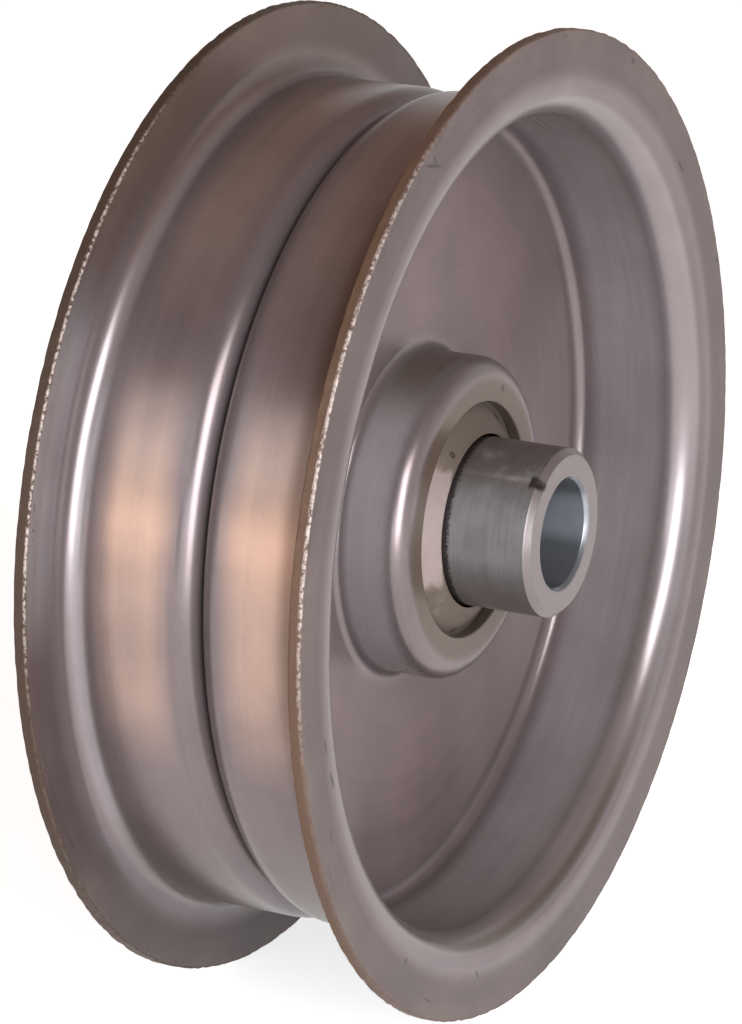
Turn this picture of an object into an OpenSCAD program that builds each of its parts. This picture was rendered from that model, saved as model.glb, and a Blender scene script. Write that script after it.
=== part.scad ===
// Flat-belt tensioner pulley. Two like steel pressings stand back to back round a double-row ball
// bearing, whose inner ring is drawn out at the front into a long collar for the mounting bolt.
// The axle lies along Y, the front faces -Y, and the origin is the middle of the bore at the seam.

/* [Pressed halves] */
// Diameter over the flanges
flange_d = 155; // [150:0.5:175]
// Width over both flanges
flange_w = 47; // [44:0.5:60]
// Diameter of the tread that the belt runs on
tread_d = 132; // [120:0.5:136]
// Thickness of the sheet
sheet_t = 2; // [1.6:0.1:3]
// Bend radius on the belt side, where a flange leaves the tread
flare_r = 3.5; // [2:0.1:5]
// Outside radius of the bend from the tread into the web, at the seam
seam_r = 4; // [3.5:0.1:7]
// Bend radius at the foot of the bearing boss
boss_root_r = 1.5; // [1:0.1:3]
// Inside radius of the boss's shoulder, where the lip turns in past the bearing's corner
lip_bend_r = 1.2; // [1:0.1:1.6]
// Reach of the lip past the bearing seat, up to the hole in it
lip_reach = 4.9; // [4.5:0.1:5.5]

/* [Bearing rings] */
// Bore for the mounting bolt
bore_d = 17; // [12:0.5:18]
// Outside diameter of the bearing
bearing_d = 47; // [46:0.5:52]
// Width of the outer ring
bearing_w = 22.2; // [21:0.1:24]
// Corner chamfer of the outer ring
ring_chamfer = 1; // [0.5:0.1:1.2]
// Diameter of the collar and of the inner ring's shoulders
collar_d = 26.6; // [25.5:0.1:27.5]
// Reach of the collar past the outer ring at the front
collar_reach = 17.9; // [10:0.1:30]
// Reach of the inner ring past the outer ring at the rear
rear_reach = 4.5; // [4:0.1:20]
// Chamfer round the outside of the collar's ends
collar_chamfer = 1; // [0.3:0.1:1.5]
// Chamfer round the mouths of the bore
bore_chamfer = 0.6; // [0.2:0.1:1.2]

/* [Balls and cages] */
// Space between the shoulders of the rings, as a share of the space between collar and bearing rim
race_share = 0.53; // [0.5:0.01:0.56]
// Diameter of a ball, as a share of that same space
ball_share = 0.778; // [0.74:0.001:0.8]
// Balls in each row
ball_count = 9; // [7:1:9]
// Gap between the two rows of balls
row_gap = 1.9; // [1.2:0.1:2.2]
// Groove radius as a multiple of the ball radius
groove_ratio = 1.04; // [1.02:0.005:1.06]
// Thickness of a cage, as a share of the space between the shoulders of the rings
cage_share = 0.55; // [0.4:0.01:0.6]
// Reach of a cage's prongs past the ball centres
prong_reach = 1.7; // [1:0.1:2.5]
// Thickness of a cage's back behind the balls
cage_back = 1.3; // [0.8:0.1:1.8]

/* [Dust shields] */
// Thickness of the shield sheet
shield_t = 0.5; // [0.3:0.1:0.8]
// Rise of the shield's cone from its rim to the collar
shield_rise = 3; // [1:0.1:3.4]

/* [Clearances] */
// Radial clearance of the bearing in the bosses
seat_clear = 0.02; // [0.01:0.01:0.1]
// Clearance between a ball and the floor of its groove
race_clear = 0.03; // [0.01:0.01:0.1]
// Clearance of a ball in its cage pocket
pocket_clear = 0.15; // [0.05:0.05:0.3]
// Gap between the foot of a shield's cone and the hole in the lip
hole_gap = 0.4; // [0.1:0.1:0.6]
// Gap between a shield and the turning collar
collar_gap = 0.4; // [0.2:0.1:0.8]
// Gap between a shield's rim and the bend of the lip
rim_gap = 0.1; // [0.05:0.05:0.5]

/* [Hidden] */
$fn = 120;
FRONT = 1;
REAR = -1;

tread_r = tread_d / 2;
flange_h = flange_w / 2;
seat_r = bearing_d / 2 + seat_clear;
boss_r = seat_r + sheet_t;
bearing_h = bearing_w / 2;
lip_h = bearing_h + shield_t;
lip_face_h = lip_h + sheet_t;
lip_flat_r = seat_r - lip_bend_r;
lip_hole_r = seat_r - lip_reach;

collar_r = collar_d / 2;
bore_r = bore_d / 2;
front_end_h = bearing_h + collar_reach;
rear_end_h = -bearing_h - rear_reach;

ring_space = bearing_d / 2 - collar_r;
shoulder_space = race_share * ring_space;
outer_shoulder_r = collar_r + shoulder_space;
pitch_r = collar_r + shoulder_space / 2;
ball_r = ball_share * ring_space / 2;
row_h = ball_r + row_gap / 2;
groove_r = ball_r * groove_ratio;
groove_shift = groove_r - ball_r - race_clear;
cage_t = cage_share * shoulder_space;
pocket_r = ball_r + pocket_clear;
ball_angle = 360 / ball_count;

// Lays a turned shape on the axle: its height runs to the front, or to the rear
module on_axle(face) {
    rotate([90 * face, 0, 0])
        children();
}

// A straight stretch of a section, from one corner to the other, as radius and height
module stretch(from, to) {
    translate(from)
        square(to - from);
}

// A quarter bend of the sheet round a centre, in the quadrant that the two signs give
module bend(centre, inner_r, quadrant) {
    outer_r = inner_r + sheet_t;
    window = 2 * outer_r;
    translate(centre)
        intersection() {
            difference() {
                circle(outer_r);
                circle(inner_r);
            }
            translate([min(quadrant.x, 0) * window, min(quadrant.y, 0) * window])
                square(window);
        }
}

// Section of one pressing, followed from the rim of the flange to the hole in the lip
module half_section() {
    flare_centre = [tread_r + flare_r, flange_h - sheet_t - flare_r];
    seam_centre = [tread_r - seam_r, seam_r];
    root_centre = [boss_r + boss_root_r, sheet_t + boss_root_r];
    shoulder_centre = [lip_flat_r, lip_h - lip_bend_r];

    stretch([flare_centre.x, flange_h - sheet_t], [flange_d / 2, flange_h]);
    bend(flare_centre, flare_r, [-1, 1]);
    stretch([tread_r - sheet_t, seam_centre.y], [tread_r, flare_centre.y]);
    bend(seam_centre, seam_r - sheet_t, [1, -1]);
    stretch([root_centre.x, 0], [seam_centre.x, sheet_t]);
    bend(root_centre, boss_root_r, [-1, -1]);
    stretch([seat_r, root_centre.y], [boss_r, shoulder_centre.y]);
    bend(shoulder_centre, lip_bend_r, [1, 1]);
    stretch([lip_hole_r, lip_h], [shoulder_centre.x, lip_face_h]);
}

module pressed_half(face) {
    on_axle(face)
        rotate_extrude()
            half_section();
}

module front_half() {
    color("#8a7d7b")
        pressed_half(FRONT);
}

module rear_half() {
    color("#857876")
        pressed_half(REAR);
}

// Both ball grooves, moved along the radius by the shift that leaves the ball its clearance
module groove_sections(shift) {
    for (h = [-row_h, row_h])
        translate([pitch_r + shift, h])
            circle(groove_r);
}

module outer_ring() {
    rim_r = bearing_d / 2;
    chamfer_r = rim_r - ring_chamfer;
    chamfer_h = bearing_h - ring_chamfer;
    color("#9b9c9e")
        on_axle(FRONT)
            rotate_extrude()
                difference() {
                    polygon([
                        [outer_shoulder_r, -bearing_h],
                        [chamfer_r, -bearing_h],
                        [rim_r, -chamfer_h],
                        [rim_r, chamfer_h],
                        [chamfer_r, bearing_h],
                        [outer_shoulder_r, bearing_h]
                    ]);
                    groove_sections(-groove_shift);
                }
}

// Inner ring and collar, turned as one piece
module inner_ring() {
    color("#6f7276")
        on_axle(FRONT)
            rotate_extrude()
                difference() {
                    polygon([
                        [bore_r + bore_chamfer, rear_end_h],
                        [collar_r - collar_chamfer, rear_end_h],
                        [collar_r, rear_end_h + collar_chamfer],
                        [collar_r, front_end_h - collar_chamfer],
                        [collar_r - collar_chamfer, front_end_h],
                        [bore_r + bore_chamfer, front_end_h],
                        [bore_r, front_end_h - bore_chamfer],
                        [bore_r, rear_end_h + bore_chamfer]
                    ]);
                    groove_sections(groove_shift);
                }
}

// Stands its children at each ball of a row, the rear row turned by half a space
module at_ball(face, index) {
    turn = (index - (face == REAR ? 0.5 : 0)) * ball_angle;
    on_axle(face)
        rotate([0, 0, turn])
            translate([pitch_r, 0, row_h])
                children();
}

module ball(face, index) {
    color("#c3c6ca")
        at_ball(face, index)
            sphere(ball_r);
}

// Crown cage: a ring behind the balls, with prongs that reach between them and a pocket for each
module cage(face) {
    prong_h = row_h - prong_reach;
    back_h = row_h + ball_r + cage_back;
    difference() {
        on_axle(face)
            rotate_extrude()
                stretch([pitch_r - cage_t / 2, prong_h], [pitch_r + cage_t / 2, back_h]);
        for (i = [1:ball_count])
            at_ball(face, i)
                sphere(pocket_r);
    }
}

module front_cage() {
    color("#a88d55")
        cage(FRONT);
}

module rear_cage() {
    color("#a88d55")
        cage(REAR);
}

// Dust shield: a rim held between ring and lip, and a cone that rises from it to the collar
module shield(face) {
    rim_r = lip_flat_r - rim_gap;
    foot_r = lip_hole_r - hole_gap;
    edge_r = collar_r + collar_gap;
    edge_h = lip_h + shield_rise;
    slope = atan2(shield_rise, foot_r - edge_r);
    on_axle(face)
        rotate_extrude()
            polygon([
                [rim_r, bearing_h],
                [rim_r, lip_h],
                [foot_r, lip_h],
                [edge_r, edge_h],
                [edge_r, edge_h - shield_t / cos(slope)],
                [foot_r - shield_t * tan(slope / 2), bearing_h]
            ]);
}

module front_shield() {
    color("#a3928c")
        shield(FRONT);
}

module rear_shield() {
    color("#a3928c")
        shield(REAR);
}

front_half();
rear_half();
outer_ring();
inner_ring();
front_cage();
rear_cage();
front_shield();
rear_shield();
for (i = [1:ball_count]) {
    ball(FRONT, i);
    ball(REAR, i);
}
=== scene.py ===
"""Flat-belt tensioner pulley: two steel pressings back to back round a bearing with a long collar."""

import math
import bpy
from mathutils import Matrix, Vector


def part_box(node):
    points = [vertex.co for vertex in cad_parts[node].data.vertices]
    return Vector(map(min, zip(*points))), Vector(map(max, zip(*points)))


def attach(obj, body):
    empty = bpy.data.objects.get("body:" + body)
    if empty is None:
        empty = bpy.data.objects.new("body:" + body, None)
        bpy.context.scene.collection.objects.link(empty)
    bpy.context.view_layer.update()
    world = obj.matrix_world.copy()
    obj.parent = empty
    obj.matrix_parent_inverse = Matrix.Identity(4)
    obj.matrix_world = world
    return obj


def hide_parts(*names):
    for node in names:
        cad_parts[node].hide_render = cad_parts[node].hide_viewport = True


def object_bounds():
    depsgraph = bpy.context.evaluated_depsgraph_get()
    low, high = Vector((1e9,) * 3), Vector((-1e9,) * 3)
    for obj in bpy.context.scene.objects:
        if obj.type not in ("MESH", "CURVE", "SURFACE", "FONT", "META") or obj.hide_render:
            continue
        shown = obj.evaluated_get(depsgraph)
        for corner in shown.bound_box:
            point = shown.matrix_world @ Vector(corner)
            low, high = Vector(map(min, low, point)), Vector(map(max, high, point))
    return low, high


bl_info = {
    "name": "Tensioner pulley",
    "version": (1, 0, 0),
    "blender": (4, 5, 0),
    "location": "View3D > Sidebar > Pulley",
    "description": "Makes the pressed halves, the collar, the shields and the stage of a belt pulley",
    "category": "Add Mesh",
}

import bmesh
import bpy
import numpy as np
from bpy.props import FloatProperty, FloatVectorProperty, IntProperty, PointerProperty
from mathutils import Vector

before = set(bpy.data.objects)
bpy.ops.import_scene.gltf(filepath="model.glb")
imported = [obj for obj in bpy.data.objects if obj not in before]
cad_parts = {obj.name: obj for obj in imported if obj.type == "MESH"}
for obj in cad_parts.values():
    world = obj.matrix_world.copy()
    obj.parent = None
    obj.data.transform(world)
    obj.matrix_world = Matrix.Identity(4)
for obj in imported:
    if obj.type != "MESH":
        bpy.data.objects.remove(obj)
CAD_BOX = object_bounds()

MM = 0.001
FRONT, REAR = -1, 1  # the way that a face looks along the axle, which is Y

HALF_LOW, HALF_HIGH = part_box("front_half")
RING_LOW, RING_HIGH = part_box("inner_ring")
RACE_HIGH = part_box("outer_ring")[1]
SHIELD_LOW, SHIELD_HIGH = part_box("front_shield")
BALL_LOW, BALL_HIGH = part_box("front_ball_9")  # the ball that lies on the X axis
BALL_MIDDLE = (BALL_LOW + BALL_HIGH) / 2


def length(name, description, default):
    """A size of the pulley, in metres."""
    return FloatProperty(
        name=name, description=description, default=default, min=0, precision=5, unit="LENGTH"
    )


def colour(name, description, default):
    """A colour of a finish."""
    return FloatVectorProperty(
        name=name, description=description, default=default, min=0, max=1, subtype="COLOR"
    )


def angle(name, description, degrees):
    """An angle, kept in radians as Blender does."""
    return FloatProperty(name=name, description=description, default=math.radians(degrees), subtype="ANGLE")


def shift(name, description, default):
    """A distance in metres that may be negative."""
    return FloatProperty(name=name, description=description, default=default, precision=5, unit="LENGTH")


def brightness(name, description, default):
    """Brightness of a lamp's face."""
    return FloatProperty(name=name, description=description, default=default, min=0)


class PressingSizes(bpy.types.PropertyGroup):
    """Sizes of one pressed half. Heights run from the seam to the flange."""

    flange_r: length("Flange radius", "Radius of the flange's rim", HALF_HIGH.x)
    flange_h: length("Flange height", "Height of the flange's outer face", -HALF_LOW.y)
    tread_r: length("Tread radius", "Radius that the belt runs on", 66 * MM)
    sheet: length("Sheet", "Thickness of the steel sheet", 2 * MM)
    flare_r: length("Flare", "Belt-side bend from tread to flange", 3.5 * MM)
    seam_r: length("Seam bend", "Outside bend from tread to web", 4 * MM)
    root_r: length("Boss root", "Bend at the foot of the bearing boss", 1.5 * MM)
    lip_bend_r: length("Lip bend", "Inside round of the boss's shoulder, where the lip turns in", 1.2 * MM)
    lip_reach: length("Lip reach", "Reach of the lip past the bearing seat", 4.9 * MM)
    seat_gap: length("Seat gap", "Gap between bearing and seat", 0.02 * MM)
    cut_round: length("Cut edges", "Wear round on the cut edges of the sheet", 0.28 * MM)
    rim_waver: length("Rim waver", "Depth of the uneven sheared rim", 0.22 * MM)
    steps: IntProperty(name="Steps", description="Steps round the axle", default=600, min=64)


class BearingSizes(bpy.types.PropertyGroup):
    """Sizes of the inner ring with its collar, and of the dust shields."""

    collar_r: length("Collar radius", "Outside radius of collar and inner ring", RING_HIGH.x)
    bore_r: length("Bore radius", "Radius of the bolt bore", 8.5 * MM)
    front_h: length("Collar end", "Reach of the collar to the front", -RING_LOW.y)
    rear_h: length("Ring end", "Reach of the inner ring to the rear", RING_HIGH.y)
    chamfer: length("Collar chamfer", "Chamfer round the collar's ends", 1 * MM)
    bore_chamfer: length("Bore chamfer", "Chamfer of the bore's mouths", 0.6 * MM)
    ring_round: length("Worn corners", "Wear round on the collar's corners", 0.16 * MM)
    groove_ratio: FloatProperty(name="Groove", description="Groove radius by ball radius", default=1.04)
    race_gap: length("Race gap", "Gap between a ball and its groove", 0.03 * MM)
    shield_t: length("Shield sheet", "Thickness of a shield", 0.5 * MM)
    hole_gap: length("Hole gap", "Gap between a shield's cone and the lip", 0.4 * MM)
    steps: IntProperty(name="Steps", description="Steps round the axle", default=288, min=64)


class Finishes(bpy.types.PropertyGroup):
    """Colours of the pulley's surfaces."""

    mill: colour("Rolled skin", "Flats of the sheet, as they came from the mill", (0.152, 0.112, 0.111))
    bent: colour("Bent skin", "Treads and bends, smoothed by the dies", (0.186, 0.152, 0.156))
    # The drawn colour also paints reflections: on the flange's tread-side face at the left and on the web's
    # lower right.
    drawn: colour("Drawn skin", "Inner walls that the dies rubbed brighter", (0.290, 0.258, 0.266))
    # The tread colour is a painted reflection of a warm tan surface in the treads, not a coating left by
    # the belt.
    tan_reflection: colour("Tread film", "Warm film that the belt leaves on the treads", (0.56, 0.385, 0.305))
    # This brown colours the rusted rims, and also paints shade at the top of the flare and on the front
    # tread beside the flange.
    rust_and_shade: colour("Edge rust", "Brown of the sheared rims", (0.115, 0.066, 0.043))
    # This colour is the bright burred edge, and also paints a glint along the left of the rims.
    burr_and_glint: colour("Burr", "Bright burr on the sheared rims", (0.56, 0.48, 0.45))
    dirt: colour("Dirt", "Old grease in corners and gaps", (0.030, 0.022, 0.018))
    stain: colour("Stain", "Olive brown stains on the flats", (0.150, 0.122, 0.088))
    # Also painted shade: pressings' lip, tread bottoms and boss top, the collar's top and lower left, the
    # shields' bottom.
    grease: colour("Grease", "Olive grease on shields and collar", (0.112, 0.086, 0.068))
    collar: colour("Collar skin", "Dull blue-grey skin round the collar", (0.365, 0.352, 0.366))
    turned: colour("Turned ends", "Bright turned ends of the collar", (0.190, 0.165, 0.163))
    bore: colour("Bore", "Reamed bore for the bolt", (0.360, 0.378, 0.420))
    shield: colour("Shield steel", "Plated sheet of the dust shields", (0.340, 0.270, 0.258))
    ring: colour("Ring steel", "Ground steel of the outer ring", (0.46, 0.46, 0.47))
    cage: colour("Cage", "Natural polyamide of the cages", (0.42, 0.31, 0.15))
    ball: colour("Ball steel", "Polished steel of the balls", (0.62, 0.63, 0.65))


class StageSettings(bpy.types.PropertyGroup):
    """Where the camera stands, and the lamps' strengths as brightness of their faces."""

    azimuth: angle("Camera azimuth", "Turn of the camera round the pulley", -63.4)
    elevation: angle("Camera elevation", "Height of the camera above the axle", 18.05)
    distance: length("Camera distance", "Distance from the camera to the seam's middle", 720.75 * MM)
    lens: FloatProperty(
        name="Lens", description="Focal length for a 36 mm long side", default=161.1, unit="CAMERA"
    )
    aim_right: shift("Aim right", "Aim past the middle, to the right", -4.1 * MM)
    aim_up: shift("Aim up", "Aim past the middle, upwards", -0.72 * MM)
    key: brightness("Key", "Brightness of the key lamp's face", 10.5)
    front: brightness("Front fill", "Brightness of the front lamp's face", 2.8)
    cool: brightness("Cool fill", "Brightness of the cool lamp's face", 1.5)
    warm: brightness("Warm fill", "Brightness of the low warm lamp's face", 3.0)


SEED_STEP = (37.0, 11.0, 5.0)  # how far apart the noises of two seeds start


class Field:
    """One socket of a node tree. Sums on fields add the Math nodes that work them out."""

    def __init__(self, tree, socket=None):
        self.tree = tree
        self.socket = socket

    def add(self, kind, settings=None, inputs=None, output=0):
        """Adds a node of a type, makes its settings, fills its sockets and gives one output."""
        node = self.tree.nodes.new(kind)
        for name, value in (settings or {}).items():
            setattr(node, name, value)
        for name, value in (inputs or {}).items():
            if isinstance(value, Field):
                self.tree.links.new(value.socket, node.inputs[name])
            else:
                node.inputs[name].default_value = value
        return Field(self.tree, node.outputs[output])

    def out(self, name):
        """Another output of the same node."""
        return Field(self.tree, self.socket.node.outputs[name])

    def feed(self, node, name):
        """Links this field to a socket of a node."""
        self.tree.links.new(self.socket, node.inputs[name])

    def math(self, operation, first, second=0.0):
        return self.add("ShaderNodeMath", {"operation": operation}, {0: first, 1: second})

    def __add__(self, other):
        return self.math("ADD", self, other)

    def __radd__(self, other):
        return self.math("ADD", other, self)

    def __sub__(self, other):
        return self.math("SUBTRACT", self, other)

    def __rsub__(self, other):
        return self.math("SUBTRACT", other, self)

    def __mul__(self, other):
        return self.math("MULTIPLY", self, other)

    def __rmul__(self, other):
        return self.math("MULTIPLY", other, self)

    def __truediv__(self, other):
        return self.math("DIVIDE", self, other)

    def __pow__(self, other):
        return self.math("POWER", self, other)

    def __mod__(self, other):
        return self.math("MODULO", self, other)

    def __abs__(self):
        return self.math("ABSOLUTE", self)

    def larger(self, other):
        return self.math("MAXIMUM", self, other)

    def smooth(self, low, high):
        """0 up to low, 1 from high on, and a soft step between."""
        return self.add(
            "ShaderNodeMapRange",
            {"interpolation_type": "SMOOTHSTEP"},
            {"Value": self, "From Min": low, "From Max": high},
        )

    def mix(self, first, second):
        """The first colour where this field is 0, and the second where it is 1."""
        ends = [c if isinstance(c, Field) else (*c, 1.0) for c in (first, second)]
        return self.add("ShaderNodeMix", {"data_type": "RGBA"}, {0: self, 6: ends[0], 7: ends[1]}, output=2)

    def scaled(self, factor):
        """This vector or colour times a number."""
        return self.add("ShaderNodeVectorMath", {"operation": "SCALE"}, {0: self, "Scale": factor})

    def vector(self, x, y, z):
        return self.add("ShaderNodeCombineXYZ", None, {"X": x, "Y": y, "Z": z})

    def noise(self, vector, scale, detail=2.0, grain=0.55, seed=0.0):
        """Fractal noise about 0.5, at a number of waves for each unit of the vector."""
        start = self.vector(*(seed * step for step in SEED_STEP))
        spot = self.add("ShaderNodeVectorMath", {"operation": "ADD"}, {0: vector.scaled(scale), 1: start})
        inputs = {"Vector": spot, "Scale": 1.0, "Detail": detail, "Roughness": grain}
        return self.add("ShaderNodeTexNoise", None, inputs)

    def bump(self, height, depth, strength=1.0):
        """A normal bent by a height that stands for a depth in metres."""
        return self.add("ShaderNodeBump", None, {"Height": height, "Distance": depth, "Strength": strength})


def on_turn(radius, turn):
    """Place across and up, at a radius and a turn about the axle in degrees."""
    return radius * math.cos(math.radians(turn)), radius * math.sin(math.radians(turn))


FAR = 10000.0  # a reach in mm that takes in every height
SOLID_SHARE = 0.35  # share of a soft patch's half width over which it is full


class Place:
    """Where a shaded point lies on a turned piece, in millimetres: along and round the axle."""

    def __init__(self, shade):
        local = shade.add("ShaderNodeTexCoord", output="Object")
        self.point = local.scaled(1 / MM)
        self.x = shade.add("ShaderNodeSeparateXYZ", None, {0: self.point})
        self.height = self.x.out("Y")
        self.z = self.x.out("Z")
        self.radius = (self.x * self.x + self.z * self.z) ** 0.5
        self.round_x = self.x / self.radius
        self.round_z = self.z / self.radius

    def rings(self, waves, drift, detail=2.0, seed=0.0):
        """Noise drawn out round the axle, as drawing dies and lathe tools leave it."""
        along = (self.radius + self.height) * waves
        drawn = self.x.vector(along, self.round_x * drift, self.round_z * drift)
        return self.x.noise(drawn, 1.0, detail, seed=seed)

    def facing(self, turn, half_width):
        """1 round one turn about the axle, in degrees, and 0 past the half width."""
        across, up = on_turn(1.0, turn)
        toward = self.round_x * across + self.round_z * up
        edge, core = (math.cos(math.radians(half_width * share)) for share in (1, SOLID_SHARE))
        return toward.smooth(edge, core)

    def blot(self, middle, way, along, aside):
        """1 in an ellipse on a face across the axle, and 0 outside it, turned by an angle."""
        local = self.x.add(
            "ShaderNodeMapping",
            {"vector_type": "TEXTURE"},
            {
                "Vector": self.point,
                "Location": (middle[0], 0, middle[1]),
                "Rotation": (0, -way, 0),
                "Scale": (along, FAR, aside),
            },
        )
        distance = local.add("ShaderNodeVectorMath", {"operation": "LENGTH"}, {0: local}, output="Value")
        return distance.smooth(1.0, SOLID_SHARE)

    def spot(self, radius, turn, size):
        """1 in a small round spot of a face across the axle."""
        return self.blot(on_turn(radius, turn), 0, size, size)

    def scratch(self, start, end, width):
        """1 along a scratch between two places, each a radius and a turn, which thins out at its ends."""
        first, last = np.array(on_turn(*start)), np.array(on_turn(*end))
        half = (last - first) / 2
        return self.blot(first + half, math.atan2(half[1], half[0]), np.linalg.norm(half), width)

    def ring(self, inner, outer, soft):
        """1 between two radii, with soft edges."""
        past_inner = self.radius.smooth(inner - soft, inner + soft)
        return past_inner * self.radius.smooth(outer + soft, outer - soft)


def new_finish(name):
    """A new material, the start of its node sums, and its surface node."""
    material = bpy.data.materials.new(name)
    material.use_nodes = True
    tree = material.node_tree
    return material, Field(tree), tree.nodes["Principled BSDF"]


# Scratches on the front flange: where each starts and ends, as a radius in mm and a turn, and its width
FLANGE_SCRATCHES = (
    ((77.0, 120.6), (72.0, 116.0), 0.42),
    ((76.0, 118.0), (73.5, 117.5), 0.30),
    ((71.7, 41.2), (72.2, 37.3), 0.45),
    ((70.7, -171.6), (70.8, -168.3), 0.34),
    ((70.3, -166.6), (69.8, -163.4), 0.38),
    ((73.0, -160.0), (73.2, -157.0), 0.26),
    ((69.3, -106.3), (71.4, -104.6), 0.36),
    ((74.5, -120.5), (74.8, -117.5), 0.28),
)
# Small pits on the front flange and lip: radius, turn and size
FACE_PITS = ((71.0, -128.0, 0.9), (75.8, 62.0, 0.8), (76.3, 20.0, 0.7), (21.2, 62.6, 0.95))


# Zones of a pressing, as radii in mm
BOSS_WALL = (24.6, 26.6)
WEB = (27.6, 61.0)
LIP = (0, 22.0)
HOLE_EDGE = (18.0, 20.4)
PRESSED_SHINE, TURNED_SHINE = 0.22, 0.3  # specular level of pressed, and of turned or plated, steel


def joined(fields):
    """The largest of some fields."""
    most, *rest = fields
    for field in rest:
        most = most.larger(field)
    return most


def pressed_steel(name, seed, marked):
    """Pressed sheet: rolled flats, drawn walls, a rusty burred cut rim, and painted reflections, shade and
    glint.
    """
    sizes, paint = bpy.context.scene.pressing_sizes, bpy.context.scene.pulley_finishes
    material, shade, surface = new_finish(name)
    place = Place(shade)
    rim, face, tread = (size / MM for size in (sizes.flange_r, sizes.flange_h, sizes.tread_r))
    sheet = sizes.sheet / MM
    height = abs(place.height)

    bands = place.rings(0.3, 0.9, 3.0, seed)
    lines = place.rings(1.1, 2.2, 0.0, seed + 3)
    dashes = place.rings(1.5, 13.0, 2.0, seed + 7)
    clouds = shade.noise(place.point, 0.055, 3.0, 0.6, seed)
    grain = shade.noise(place.point, 2.4, 1.0, 0.6, seed + 1)
    speckle = shade.noise(place.point, 1.5, 2.0, 0.65, seed + 5)

    wall = place.ring(tread - sheet - 1.2, tread - 0.9, 0.5)
    wall = wall * height.smooth(3.5, 7.0) * height.smooth(20.0, 16.0)
    boss = place.ring(*BOSS_WALL, 0.5) * height.smooth(2.6, 4.5) * height.smooth(12.0, 9.5)
    flange = place.ring(tread + 4.5, rim + 9, 1.5)
    web = place.ring(*WEB, 1.2)
    lip = place.ring(*LIP, 0.9)
    flat = joined((flange, web, lip))
    base = flat.mix(paint.bent, paint.mill)
    back = height.smooth(face - 0.7, face - 1.7)
    # Painted reflection in the drawn colour: the flange's tread-side face on the left and the web's lower
    # right are made lighter where they would mirror the bright flare and wall.
    rubbed = back * place.facing(161, 25) * place.radius.smooth(tread + 0.5, tread + 8)
    rubbed = rubbed.larger(web * place.facing(-25, 55) * 0.3)
    flare = place.ring(tread - 2.2, tread + 1.0, 0.6) * height.smooth(17.5, 19.0)
    base = joined((wall * 0.5, boss, rubbed, flare * 0.7)).mix(base, paint.drawn)
    tone = (bands - 0.5) * 0.2 + (clouds - 0.5) * 0.5 + (lines - 0.5) * 0.12 + 1.0
    base = base.scaled(tone - flange * 0.32)

    belt = abs(place.radius - tread).smooth(1.2, 0.2) * height.smooth(3.0, 5.0)
    # Painted reflection of a warm tan surface: tan patches on the treads at the left, the top and the lower
    # right, where the treads would mirror it.
    warm = joined((place.facing(174, 33), place.facing(102, 48) * 0.6, place.facing(-48, 40) * 0.45))
    uneven = (clouds - 0.5) * 0.9 + (bands - 0.5) * 0.6
    spread = warm * warm * (0.85 + uneven)
    tan_reflection = belt * height.smooth(18.5, 13.0) * height.smooth(3.0, 8.0) * spread
    base = (tan_reflection * 0.62).mix(base, paint.tan_reflection)
    # Painted shade: the flare and the flange's tread-side face are darkened brown at the top, where they
    # mirror the dark tread.
    brown = back * place.facing(98, 50) * place.radius.smooth(tread - 0.5, tread + 1.5)
    base = (brown * 0.45).mix(base, paint.rust_and_shade)

    edge = place.radius.smooth(rim - 5.0, rim)
    stains = edge.larger(place.ring(*HOLE_EDGE, 0.6)) * (clouds * 0.7 + grain * 0.3).smooth(0.46, 0.68)
    base = (stains * 0.5).mix(base, paint.stain)
    # Painted shade in the grease colour: the lip round the collar, the bottom of the treads and the top of
    # the boss.
    painted_shade = joined((lip * 0.95, belt * place.facing(-95, 62) * 0.75, boss * place.facing(84, 50) * 0.85))
    base = painted_shade.mix(base, paint.grease)
    wear = edge * dashes.smooth(0.62, 0.7) * speckle.smooth(0.4, 0.6)
    if marked:
        # Painted shade: the front tread beside the flange is darkened brown, most on the left, where it
        # mirrors the flange's shaded back.
        corner = back * height.smooth(12.6, 15.4) * place.radius.smooth(rim - 4, rim - 7)
        base = (corner * (0.08 + 0.57 * place.facing(158, 56))).mix(base, paint.rust_and_shade)
        outer = place.height.smooth(0.5 - face, 0.2 - face)
        scars = joined(place.scratch(*scratch) for scratch in FLANGE_SCRATCHES)
        pits = joined(place.spot(*pit) for pit in FACE_PITS)
        wear = joined((wear, outer * scars, pits * grain.smooth(0.3, 0.5)))
    base = (wear * 0.8).mix(base, paint.dirt)

    cut = place.radius.smooth(rim - 0.55, rim - 0.2)
    across = height.smooth(face - sheet, face)
    base = (cut * (1.0 - 0.3 * across) * (0.7 + 0.6 * speckle)).mix(base, paint.rust_and_shade)
    if marked:
        shown = height.smooth(face - 0.65, face - 0.35)
    else:
        base = (cut * 0.6).mix(base, paint.dirt)
        shown = height.smooth(face - sheet + 0.5, face - sheet + 0.25)
    # The speckle on the cut edge is real; its brightness on the left of the rim is a painted glint.
    painted_glint = (0.1 + 0.9 * place.facing(152, 40)) * speckle.smooth(0.36, 0.6)
    base = (cut * shown * painted_glint * 0.7).mix(base, paint.burr_and_glint)
    base.feed(surface, "Base Color")

    (0.24 + flat * 0.06 + bands * 0.08 + cut * 0.2).feed(surface, "Roughness")
    (0.62 - 0.26 * joined((flat, wall, boss))).feed(surface, "Metallic")
    surface.inputs["Specular IOR Level"].default_value = PRESSED_SHINE
    shade.bump(lines * 0.4 + cut * speckle * 4.0, 0.012 * MM, 0.6).feed(surface, "Normal")
    return material


CHIP = (13.1, 128.0, 1.6)  # chip in the collar's front corner: radius, turn and size in mm
DENT_SHARE = 0.6  # how much of the chip's size is pressed in


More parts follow.
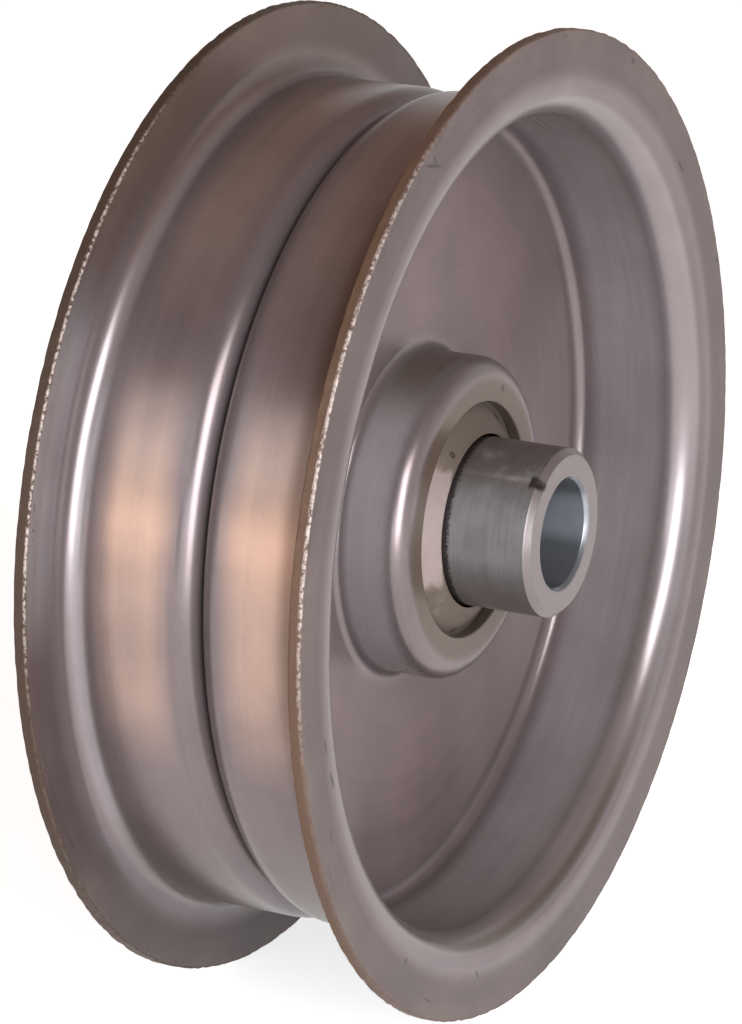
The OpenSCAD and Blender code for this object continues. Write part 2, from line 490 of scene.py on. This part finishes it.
def collar_steel(name):
    """Turned steel: a dull skin with tool lines round the collar, bright ends and a reamed bore, with
    painted shade on the collar and a painted sheen in the bore.
    """
    sizes, paint = bpy.context.scene.bearing_sizes, bpy.context.scene.pulley_finishes
    material, shade, surface = new_finish(name)
    place = Place(shade)
    front, rear, chamfer = (size / MM for size in (sizes.front_h, sizes.rear_h, sizes.chamfer))
    lines = place.rings(2.2, 1.4, 1.0, 21)
    clouds = shade.noise(place.point, 0.16, 3.0, 0.6, 22)
    grain = shade.noise(place.point, 2.4, 2.0, 0.6, 23)
    skin = (clouds * 0.7 + lines * 0.4).smooth(0.35, 0.85)
    base = skin.mix(paint.collar, tuple(0.66 * c for c in paint.collar))
    low = 0 - place.height
    gap = -SHIELD_LOW.y / MM
    # Painted shade in the grease colour: the collar's top, broken up by clouds, and its lower left.
    grease = place.facing(92, 62) * clouds.smooth(0.2, 0.5)
    base = (grease * 0.7).mix(base, paint.grease)
    base = (place.facing(-118, 62) * 0.6).mix(base, paint.grease)
    seal = (low + grain * 1.4).smooth(gap + 1.8, gap + 1.0)
    base = (seal * 0.9).mix(base, paint.dirt)

    inside = place.radius.smooth(sizes.bore_r / MM + 0.8, sizes.bore_r / MM + 0.3)
    # Painted sheen: the bore is lighter on its right and darker elsewhere.
    painted_bore_sheen = place.facing(2, 34) * (0.4 + clouds * 0.8)
    base = inside.mix(base, painted_bore_sheen.mix(tuple(0.4 * c for c in paint.bore), paint.bore))
    ends = low.smooth(front - chamfer - 0.15, front - chamfer + 0.1)
    ends = ends.larger(place.height.smooth(rear - chamfer - 0.15, rear - chamfer + 0.1)) * (1 - inside)
    base = (ends * (0.75 + grain * 0.4)).mix(base, paint.turned)
    chip = place.spot(*CHIP) * low.smooth(front - 2.4, front - 2.0)
    base = chip.mix(base, paint.dirt)
    base.feed(surface, "Base Color")
    (0.3 + grain * 0.07 + chip * 0.4 - inside * 0.1).feed(surface, "Roughness")
    surface.inputs["Metallic"].default_value = 0.6
    surface.inputs["Specular IOR Level"].default_value = TURNED_SHINE
    shade.bump(lines, 0.012 * MM, 0.7).feed(surface, "Normal")
    return material


SHIELD_SPOTS = ((17.1, 53.5, 1.0), (15.2, 122.4, 0.7), (17.8, -104.0, 0.8))  # radius, turn and size


def shield_steel(name):
    """Plated thin sheet, dull, darker olive over its top, with grease along the collar and painted shade in
    a crescent at the bottom.
    """
    sizes, paint = bpy.context.scene.bearing_sizes, bpy.context.scene.pulley_finishes
    material, shade, surface = new_finish(name)
    place = Place(shade)
    clouds = shade.noise(place.point, 0.3, 3.0, 0.6, 31)
    grain = shade.noise(place.point, 2.0, 2.0, 0.6, 32)
    gap = place.radius.smooth(sizes.collar_r / MM + 1.1, sizes.collar_r / MM + 0.3)
    # Darker olive over the shield's top; over its bottom, painted shade for the shadowed recess under the
    # lip; grease along the collar.
    top = place.facing(82, 70) * 1.1
    painted_crescent_shade = place.facing(-104, 74) * 0.8
    grease = (gap * 0.45 + top.larger(painted_crescent_shade) + (clouds - 0.5) * 0.9).smooth(0.3, 0.75)
    base = (clouds * 0.6 + grain * 0.3).mix(paint.shield, tuple(0.7 * c for c in paint.shield))
    base = (grease * 0.92).mix(base, paint.grease)
    black = joined(place.spot(*spot) for spot in SHIELD_SPOTS)
    base = (black * grain.smooth(0.3, 0.5)).mix(base, paint.dirt)
    base.feed(surface, "Base Color")
    (0.36 + clouds * 0.1 + grease * 0.2).feed(surface, "Roughness")
    surface.inputs["Metallic"].default_value = 0.5
    surface.inputs["Specular IOR Level"].default_value = TURNED_SHINE
    shade.bump(grain + grease * 0.6, 0.014 * MM, 0.6).feed(surface, "Normal")
    return material


def ground_steel(name):
    """Ground ring: fine even lines round the axle."""
    paint = bpy.context.scene.pulley_finishes
    material, shade, surface = new_finish(name)
    place = Place(shade)
    lines = place.rings(6.0, 1.0, 2.0, 41)
    clouds = shade.noise(place.point, 0.3, 3.0, 0.5, 42)
    clouds.mix(paint.ring, tuple(0.8 * c for c in paint.ring)).feed(surface, "Base Color")
    (0.16 + lines * 0.12).feed(surface, "Roughness")
    surface.inputs["Metallic"].default_value = 1.0
    shade.bump(lines, 0.006 * MM, 0.5).feed(surface, "Normal")
    return material


def cage_plastic(name):
    """Moulded polyamide, slightly cloudy, with a thin coat of grease."""
    paint = bpy.context.scene.pulley_finishes
    material, shade, surface = new_finish(name)
    place = Place(shade)
    clouds = shade.noise(place.point, 0.35, 4.0, 0.6, 51)
    grain = shade.noise(place.point, 4.0, 2.0, 0.5, 52)
    clouds.mix(paint.cage, tuple(0.7 * c for c in paint.cage)).feed(surface, "Base Color")
    (0.36 + grain * 0.16).feed(surface, "Roughness")
    shade.bump(grain, 0.01 * MM, 0.5).feed(surface, "Normal")
    return material


def ball_steel(name):
    """Lapped balls with faint running marks."""
    paint = bpy.context.scene.pulley_finishes
    material, shade, surface = new_finish(name)
    place = Place(shade)
    marks = shade.noise(place.point, 1.8, 4.0, 0.7, 61)
    marks.mix(paint.ball, tuple(0.88 * c for c in paint.ball)).feed(surface, "Base Color")
    (0.05 + marks * 0.08).feed(surface, "Roughness")
    surface.inputs["Metallic"].default_value = 1.0
    shade.bump(marks, 0.002 * MM, 0.3).feed(surface, "Normal")
    return material


SUPPORT = 0.3 * MM  # distance of the edge loops that keep a flat flat beside a bend
ARC_STEP = math.radians(9.5)
GROOVE_POINTS = 15
RIM_BAND = 0.9 * MM  # width of the band at the rim that is uneven
RIM_WAVES = 420  # waves of the uneven rim in a metre
WELD = 0.001 * MM  # points closer than this are one


def rounded(corners):
    """Points of a closed section. Each corner is a radius, a height and the bend that rounds it off."""
    points = []
    count = len(corners)
    for i, (radius, height, bend) in enumerate(corners):
        here = np.array((radius, height))
        arms = [np.array(corners[(i + k) % count][:2]) - here for k in (-1, 1)]
        back, on = (arm / np.linalg.norm(arm) for arm in arms)
        if bend == 0:
            points.append([here])
            continue
        opening = math.acos(np.clip(back @ on, -1, 1))
        reach = bend / math.tan(opening / 2)
        middle = here + (back + on) / np.linalg.norm(back + on) * bend / math.sin(opening / 2)
        first, last = here + back * reach - middle, here + on * reach - middle
        sweep = math.pi - opening
        steps = max(2, math.ceil(sweep / ARC_STEP))
        turns = [sweep * k / steps for k in range(steps + 1)]
        shares = [(math.sin(sweep - turn), math.sin(turn)) for turn in turns]
        points.append([middle + (first * a + last * b) / math.sin(sweep) for a, b in shares])
    outline = []
    for i, arc in enumerate(points):
        outline.extend(arc)
        start, end = arc[-1], points[(i + 1) % count][0]
        gap = np.linalg.norm(end - start)
        if gap > 4 * SUPPORT:
            along = (end - start) / gap * SUPPORT
            outline.extend((start + along, end - along))
    return outline


def turning_tree():
    """Geometry nodes that turn a section round the axle, with an uneven edge at the largest radius."""
    tree = bpy.data.node_groups.new("Turned piece", "GeometryNodeTree")
    sockets = tree.interface
    sockets.new_socket("Section", in_out="INPUT", socket_type="NodeSocketGeometry")
    for name, kind in (
        ("Steps round", "NodeSocketInt"),
        ("Rim radius", "NodeSocketFloat"),
        ("Rim waver", "NodeSocketFloat"),
        ("Seed", "NodeSocketFloat"),
        ("Finish", "NodeSocketMaterial"),
    ):
        sockets.new_socket(name, in_out="INPUT", socket_type=kind)
    sockets.new_socket("Piece", in_out="OUTPUT", socket_type="NodeSocketGeometry")

    section = Field(tree).add("NodeGroupInput", output="Section")
    steps, rim, waver = (section.out(n) for n in ("Steps round", "Rim radius", "Rim waver"))
    count = section.add("GeometryNodeAttributeDomainSize", None, {0: section})
    rows = count + 1
    sheet = section.add("GeometryNodeMeshGrid", None, {"Vertices X": steps + 1, "Vertices Y": rows})
    index = section.add("GeometryNodeInputIndex")
    column = section.math("FLOOR", index / rows)
    row = (index - column * rows) % count
    place = section.add(
        "GeometryNodeSampleIndex",
        {"data_type": "FLOAT_VECTOR"},
        {"Geometry": section, "Value": section.add("GeometryNodeInputPosition"), "Index": row},
    )
    radius = section.add("ShaderNodeSeparateXYZ", None, {0: place})
    turn = column / steps * math.tau
    across, upward = section.math("COSINE", turn), section.math("SINE", turn)

    spot = section.vector(across * radius, radius.out("Y"), upward * radius)
    rough = section.noise(spot, RIM_WAVES, 4.0, 0.6, section.out("Seed"))
    bite = radius.smooth(rim - RIM_BAND, rim) * rough.smooth(0.38, 0.72) * waver
    worn = radius - bite
    spot = section.vector(across * worn, radius.out("Y"), upward * worn)

    piece = section.add("GeometryNodeSetPosition", None, {"Geometry": sheet, "Position": spot})
    piece = section.add("GeometryNodeMergeByDistance", None, {"Geometry": piece, "Distance": WELD})
    piece = section.add("GeometryNodeSetShadeSmooth", None, {"Geometry": piece})
    piece = section.add("GeometryNodeRealizeInstances", None, {"Geometry": piece})
    finish = section.out("Finish")
    piece = section.add("GeometryNodeSetMaterial", None, {"Geometry": piece, "Material": finish})
    output = tree.nodes.new("NodeGroupOutput")
    piece.feed(output, "Piece")
    return tree


SHARP = math.radians(35)


def turn_piece(name, outline, face, material, steps, rim=0.0, waver=0.0, seed=0.0):
    """A closed mesh object that an outline of radius and height makes when it is turned round the axle."""
    mesh = bpy.data.meshes.new(name)
    count = len(outline)
    edges = [(i, (i + 1) % count) for i in range(count)]
    mesh.from_pydata([(r, face * h, 0) for r, h in outline], edges, [])
    piece = bpy.data.objects.new(name, mesh)
    bpy.context.scene.collection.objects.link(piece)
    tree = bpy.data.node_groups.get("Turned piece") or turning_tree()
    values = {"Steps round": steps, "Rim radius": rim, "Rim waver": waver, "Seed": seed, "Finish": material}
    turning = piece.modifiers.new("Turning", "NODES")
    turning.node_group = tree
    for item in tree.interface.items_tree:
        if item.name in values:
            turning[item.identifier] = values[item.name]
    turned = piece.evaluated_get(bpy.context.evaluated_depsgraph_get())
    piece.data = bpy.data.meshes.new_from_object(turned)
    piece.data.name = name
    piece.modifiers.clear()
    bpy.data.meshes.remove(mesh)
    whole = bmesh.new()
    whole.from_mesh(piece.data)
    bmesh.ops.recalc_face_normals(whole, faces=whole.faces)
    whole.to_mesh(piece.data)
    whole.free()
    piece.data.set_sharp_from_angle(angle=SHARP)
    if not piece.data.polygons:
        raise RuntimeError(f"{name} came out empty")
    return piece


def settle(piece, body, slot, *nodes):
    """Lets a piece ride on its body in the place of its solids."""
    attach(piece, body)
    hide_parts(*nodes)


def half_outline(sizes, shield_t):
    """Section of one pressing: along the belt side from rim to lip, and back along the dish side."""
    sheet, tread = sizes.sheet, sizes.tread_r
    seat = RACE_HIGH.x + sizes.seat_gap
    boss = seat + sheet
    hole = seat - sizes.lip_reach
    lip = RACE_HIGH.y + shield_t
    return rounded([
        (sizes.flange_r, sizes.flange_h - sheet, sizes.cut_round),
        (tread, sizes.flange_h - sheet, sizes.flare_r),
        (tread, 0, sizes.seam_r),
        (seat, 0, sizes.root_r + sheet),
        (seat, lip, sizes.lip_bend_r),
        (hole, lip, sizes.cut_round),
        (hole, lip + sheet, sizes.cut_round),
        (boss, lip + sheet, sizes.lip_bend_r + sheet),
        (boss, sheet, sizes.root_r),
        (tread - sheet, sheet, sizes.seam_r - sheet),
        (tread - sheet, sizes.flange_h, sizes.flare_r + sheet),
        (sizes.flange_r, sizes.flange_h, sizes.cut_round),
    ])


class PULLEY_OT_pressings(bpy.types.Operator):
    """Make the two pressed halves that stand back to back"""

    bl_idname = "pulley.pressings"
    bl_label = "Pressed halves"

    def execute(self, context):
        sizes = context.scene.pressing_sizes
        outline = half_outline(sizes, context.scene.bearing_sizes.shield_t)
        for node, face, seed in (("front_half", FRONT, 2.0), ("rear_half", REAR, 11.0)):
            material = pressed_steel(f"pressed_steel_{node.split('_')[0]}", seed, face == FRONT)
            rim = (sizes.flange_r, sizes.rim_waver, seed)
            piece = turn_piece(f"{node}_pressing", outline, face, material, sizes.steps, *rim)
            settle(piece, "pulley", "pressed_steel", node)
        return {"FINISHED"}


def groove_corners(sizes, height):
    """Points of a ball groove in the inner ring, in the order of rising height."""
    ball = (BALL_HIGH.x - BALL_LOW.x) / 2
    groove = ball * sizes.groove_ratio
    middle = BALL_MIDDLE.x + groove - ball - sizes.race_gap
    half = math.acos((middle - sizes.collar_r) / groove)
    turns = np.linspace(-half, half, GROOVE_POINTS)
    return [(middle - groove * math.cos(t), height + groove * math.sin(t), 0) for t in turns]


def collar_outline(sizes):
    """Section of the inner ring and its collar, with both ball grooves."""
    bore, collar, worn = sizes.bore_r, sizes.collar_r, sizes.ring_round
    low, high = -sizes.rear_h, sizes.front_h
    row = -BALL_MIDDLE.y
    return rounded([
        (bore, low + sizes.bore_chamfer, worn),
        (bore + sizes.bore_chamfer, low, worn),
        (collar - sizes.chamfer, low, worn),
        (collar, low + sizes.chamfer, worn),
        *groove_corners(sizes, -row),
        *groove_corners(sizes, row),
        (collar, high - sizes.chamfer, worn),
        (collar - sizes.chamfer, high, worn),
        (bore + sizes.bore_chamfer, high, worn),
        (bore, high - sizes.bore_chamfer, worn),
    ])


DENT_DEPTH, DENT_SLOPE = 0.45, 1.6  # by the dent's size, and how fast its sides fall


def dent(piece, radius, turn, size, height):
    """Presses a small hollow into a corner of a turned piece. Places are in metres and degrees."""
    across, up = on_turn(radius, turn)
    middle = Vector((across, height, up))
    inward = Vector((-across, radius, -up)).normalized()
    for vertex in piece.data.vertices:
        nearness = 1 - (vertex.co - middle).length / size
        if nearness > 0:
            vertex.co += inward * size * DENT_DEPTH * min(1, DENT_SLOPE * nearness)


class PULLEY_OT_collar(bpy.types.Operator):
    """Turn the inner ring with its long collar"""

    bl_idname = "pulley.collar"
    bl_label = "Inner ring and collar"

    def execute(self, context):
        sizes = context.scene.bearing_sizes
        material = collar_steel("collar_steel")
        piece = turn_piece("bolt_collar", collar_outline(sizes), FRONT, material, sizes.steps)
        chip_r, chip_turn, chip_size = CHIP
        dent(piece, chip_r * MM, chip_turn, chip_size * DENT_SHARE * MM, -sizes.front_h + sizes.chamfer / 2)
        settle(piece, "hub", "collar_steel", "inner_ring")
        return {"FINISHED"}


def shield_hole_radius():
    """Radius of the hole in a shield, from its solid."""
    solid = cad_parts["front_shield"].data
    return min(math.hypot(vertex.co.x, vertex.co.z) for vertex in solid.vertices)


def shield_outline(sizes, pressing):
    """Section of a dust shield: a rim under the lip and a cone that rises to the collar."""
    rim, bottom, top = SHIELD_HIGH.x, -SHIELD_HIGH.y, -SHIELD_LOW.y
    lip = bottom + sizes.shield_t
    foot = RACE_HIGH.x + pressing.seat_gap - pressing.lip_reach - sizes.hole_gap
    hole = shield_hole_radius()
    slope = math.atan2(top - lip, foot - hole)
    return rounded([
        (rim, bottom, 0.08 * MM),
        (rim, lip, 0.08 * MM),
        (foot, lip, 0.9 * MM),
        (hole, top, 0.1 * MM),
        (hole, top - sizes.shield_t / math.cos(slope), 0.1 * MM),
        (foot - sizes.shield_t * math.tan(slope / 2), bottom, 0.5 * MM),
    ])


class PULLEY_OT_shields(bpy.types.Operator):
    """Form the dust shields at both ends of the bearing"""

    bl_idname = "pulley.shields"
    bl_label = "Dust shields"

    def execute(self, context):
        sizes = context.scene.bearing_sizes
        outline = shield_outline(sizes, context.scene.pressing_sizes)
        material = shield_steel("shield_steel")
        for node, face in (("front_shield", FRONT), ("rear_shield", REAR)):
            piece = turn_piece(f"{node}_cone", outline, face, material, sizes.steps)
            settle(piece, "pulley", "shield_steel", node)
        return {"FINISHED"}


class PULLEY_OT_bearing(bpy.types.Operator):
    """Give the closed-in bearing pieces their finishes"""

    bl_idname = "pulley.bearing"
    bl_label = "Bearing finishes"

    def execute(self, context):
        finishes = {
            "outer_ring": ground_steel("ground_steel"),
            "cage": cage_plastic("cage_polyamide"),
            "ball": ball_steel("ball_steel"),
        }
        for name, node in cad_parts.items():
            finish = next((m for key, m in finishes.items() if key in name), None)
            if finish:
                node.data.materials.clear()
                node.data.materials.append(finish)
        return {"FINISHED"}


def direction(azimuth, elevation):
    """Unit vector from the middle towards a place on the sky. Azimuth 0 is the front, -Y."""
    flat = math.cos(elevation)
    return Vector((math.sin(azimuth) * flat, -math.cos(azimuth) * flat, math.sin(elevation)))


def soft_box(name, azimuth, elevation, distance, width, height, brightness, tint):
    """A flat lamp that faces the pulley, set by the brightness of its face."""
    lamp = bpy.data.lights.new(name, "AREA")
    lamp.shape = "RECTANGLE"
    lamp.size, lamp.size_y = width, height
    lamp.energy = brightness * math.pi * width * height
    lamp.color = tint
    box = bpy.data.objects.new(name, lamp)
    box.location = direction(math.radians(azimuth), math.radians(elevation)) * distance
    box.rotation_euler = box.location.to_track_quat("Z", "Y").to_euler()
    box.visible_camera = False
    bpy.context.scene.collection.objects.link(box)


HORIZON, CEILING = (0.74, 0.74, 0.75), (0.27, 0.170, 0.125)
FLOOR_REACH = 6.0


def studio_world():
    """Pale all round the horizon, and a dim warm ceiling."""
    world = bpy.data.worlds.new("Studio")
    world.use_nodes = True
    tree = world.node_tree
    shade = Field(tree)
    toward = shade.add("ShaderNodeTexCoord", output="Generated")
    up = shade.add("ShaderNodeSeparateXYZ", None, {0: toward}).out("Z")
    sky = up.smooth(0.12, 0.6).mix(HORIZON, CEILING)
    sky.feed(tree.nodes["Background"], "Color")
    bpy.context.scene.world = world


def pale_floor(level):
    """A wide matt floor under the flanges, which reads white and keeps the pulley's shadow."""
    mesh = bpy.data.meshes.new("floor")
    far = FLOOR_REACH
    corners = [(-far, -far, level), (far, -far, level), (far, far, level), (-far, far, level)]
    mesh.from_pydata(corners, [], [(0, 1, 2, 3)])
    floor = bpy.data.objects.new("floor", mesh)
    bpy.context.scene.collection.objects.link(floor)
    material, shade, surface = new_finish("pale_floor")
    surface.inputs["Base Color"].default_value = (0.86, 0.86, 0.86, 1)
    surface.inputs["Roughness"].default_value = 0.9
    surface.inputs["Specular IOR Level"].default_value = 0.1
    path = shade.add("ShaderNodeLightPath")
    seen = path.larger(path.out("Is Glossy Ray")).larger(path.out("Is Transmission Ray"))
    seen.mix((0, 0, 0), (0.70, 0.71, 0.72)).feed(surface, "Emission Color")
    surface.inputs["Emission Strength"].default_value = 1.0
    mesh.materials.append(material)


class PULLEY_OT_stage(bpy.types.Operator):
    """Set the floor, the lamps and the camera"""

    bl_idname = "pulley.stage"
    bl_label = "Stage"

    def execute(self, context):
        scene, stage = context.scene, context.scene.stage_settings
        scene.view_settings.view_transform = "Standard"
        pale_floor(CAD_BOX[0].z)
        studio_world()
        soft_box("key_lamp", -40, 18, 1.0, 0.48, 0.85, stage.key, (0.95, 0.98, 1.0))
        soft_box("front_lamp", -66, 7, 1.1, 0.6, 0.35, stage.front, (0.93, 0.98, 1.0))
        soft_box("cool_lamp", -106, 27, 0.9, 0.8, 0.32, stage.cool, (0.86, 0.95, 1.0))
        soft_box("warm_lamp", -117, 5, 0.8, 0.5, 0.16, stage.warm, (1.0, 0.80, 0.65))

        back = direction(stage.azimuth, stage.elevation)
        right = Vector((math.cos(stage.azimuth), math.sin(stage.azimuth), 0))
        camera = bpy.data.objects.new("camera", bpy.data.cameras.new("camera"))
        camera.location = back * stage.distance
        aim = right * stage.aim_right + back.cross(right) * stage.aim_up
        camera.rotation_euler = (camera.location - aim).to_track_quat("Z", "Y").to_euler()
        camera.data.sensor_width = 36
        camera.data.lens = stage.lens
        camera.data.clip_start = 0.01
        scene.collection.objects.link(camera)
        scene.camera = camera
        return {"FINISHED"}


MAKERS = (PULLEY_OT_pressings, PULLEY_OT_collar, PULLEY_OT_shields, PULLEY_OT_bearing, PULLEY_OT_stage)


class PULLEY_PT_panel(bpy.types.Panel):
    """Lists the pulley's makers and its settings"""

    bl_idname = "PULLEY_PT_panel"
    bl_label = "Tensioner pulley"
    bl_space_type = "VIEW_3D"
    bl_region_type = "UI"
    bl_category = "Pulley"

    def draw(self, context):
        for maker in MAKERS:
            self.layout.operator(maker.bl_idname)
        for group in GROUPS:
            settings = getattr(context.scene, group)
            for name in settings.bl_rna.properties.keys():
                if name not in {"rna_type", "name"}:
                    self.layout.prop(settings, name)


GROUPS = {
    "pressing_sizes": PressingSizes,
    "bearing_sizes": BearingSizes,
    "pulley_finishes": Finishes,
    "stage_settings": StageSettings,
}
CLASSES = (*GROUPS.values(), *MAKERS, PULLEY_PT_panel)


def register():
    for cls in CLASSES:
        bpy.utils.register_class(cls)
    for name, group in GROUPS.items():
        setattr(bpy.types.Scene, name, PointerProperty(type=group))


def unregister():
    for name in GROUPS:
        delattr(bpy.types.Scene, name)
    for cls in reversed(CLASSES):
        bpy.utils.unregister_class(cls)


def main():
    register()
    bpy.ops.pulley.stage()
    bpy.ops.pulley.pressings()
    bpy.ops.pulley.collar()
    bpy.ops.pulley.shields()
    bpy.ops.pulley.bearing()


if __name__ == "__main__":
    main()
